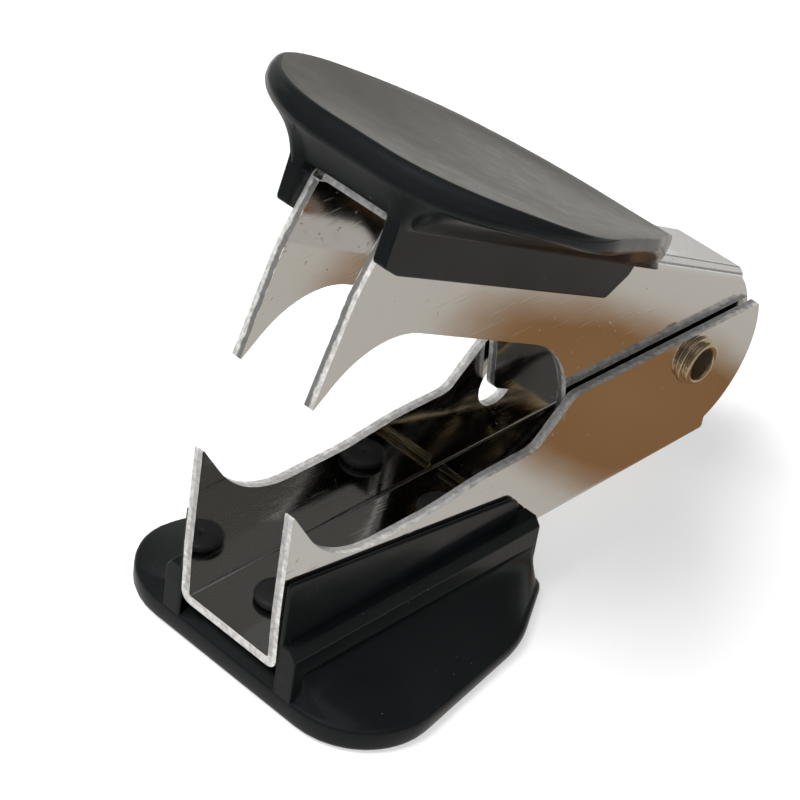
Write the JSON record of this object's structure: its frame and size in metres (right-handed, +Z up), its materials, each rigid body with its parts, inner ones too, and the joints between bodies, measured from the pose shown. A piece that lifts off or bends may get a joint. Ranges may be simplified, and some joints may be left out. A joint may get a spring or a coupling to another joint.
{
  "type": "staple remover",
  "caption": "Jaw-type staple remover: nested sprung sheet-metal jaws with pointed teeth, hinged on a hollow rivet, with a moulded base and a dished thumb pad.",
  "frame": {"origin": "centre of the flat underside that rests on a desk", "axes": "+Z up out of the desk, +X from the toothed front towards the rivet, +Y along the hinge axis"},
  "size_m": [0.0609, 0.0346, 0.0509],
  "materials": {
    "jaw_chrome": "bright plated",
    "rivet_chrome": "bright plated",
    "spring_steel": "drawn wire",
    "grip_plastic": "gloss"
  },
  "bodies": {
    "lower": {"lower_jaw": "jaw_chrome", "lower_grip": "grip_plastic", "pivot_rivet": "rivet_chrome", "torsion_spring": "spring_steel"},
    "upper": {"upper_jaw": "jaw_chrome", "upper_grip": "grip_plastic"}
  },
  "joints": [
    {"name": "jaw_hinge", "type": "hinge", "parent": "lower", "child": "upper", "pos_m": [0.0359, 0, 0.0144], "axis": [0, -1, 0], "range_deg": [0, 23.5], "stiffness_Nm_per_rad": 0.35, "springref_deg": -8.59, "deforming": ["torsion_spring"]}
  ]
}
